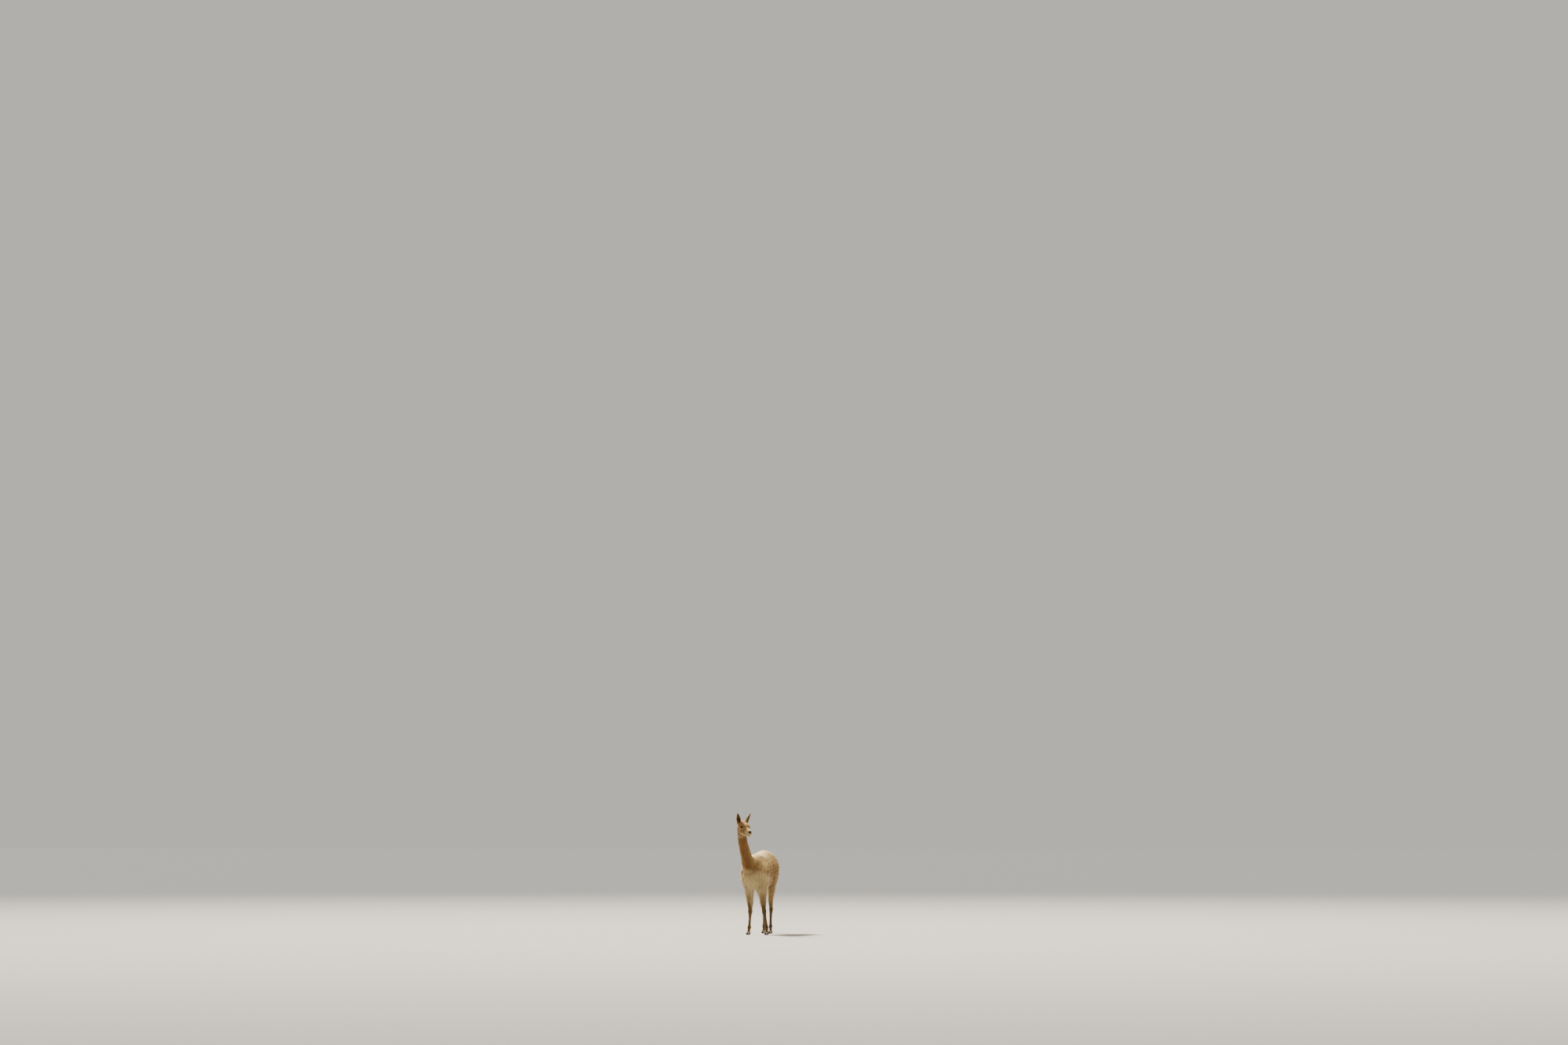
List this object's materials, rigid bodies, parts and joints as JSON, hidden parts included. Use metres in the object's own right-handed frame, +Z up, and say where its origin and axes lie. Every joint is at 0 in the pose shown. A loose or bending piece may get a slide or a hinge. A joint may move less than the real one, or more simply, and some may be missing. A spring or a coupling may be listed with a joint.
{
  "type": "vicuna",
  "caption": "Life-size standing vicuna, still, with its head turned to its left, fleecy body, slender neck and legs, resting on its soles.",
  "frame": {"origin": "on the floor, under the middle of the whole animal's box", "axes": "+Z up; the animal's body faces -Y and its left side is +X"},
  "size_m": [0.3538, 1.259, 1.3522],
  "materials": {
    "fleece": "dense crimped wool in rounded clumps, fawn above and cream below",
    "neck_coat": "short dense cinnamon coat",
    "head_coat": "short velvety coat, cream at the muzzle",
    "ear_coat": "short coat outside, sparse dark skin inside the cup",
    "leg_coat": "very short flat coat, cream inside the legs",
    "eye": "wet, dark",
    "nail": "dark horn"
  },
  "bodies": {
    "root": {"head": "head_coat", "ear_left": "ear_coat", "eye_left": "eye", "ear_right": "ear_coat", "eye_right": "eye", "torso": "fleece", "neck": "neck_coat", "foreleg_right": "leg_coat", "nail_foreleg_right_left": "nail", "nail_foreleg_right_right": "nail", "foreleg_left": "leg_coat", "nail_foreleg_left_left": "nail", "nail_foreleg_left_right": "nail", "hindleg_left": "leg_coat", "nail_hindleg_left_left": "nail", "nail_hindleg_left_right": "nail", "hindleg_right": "leg_coat", "nail_hindleg_right_left": "nail", "nail_hindleg_right_right": "nail", "tail": "fleece"}
  },
  "joints": []
}
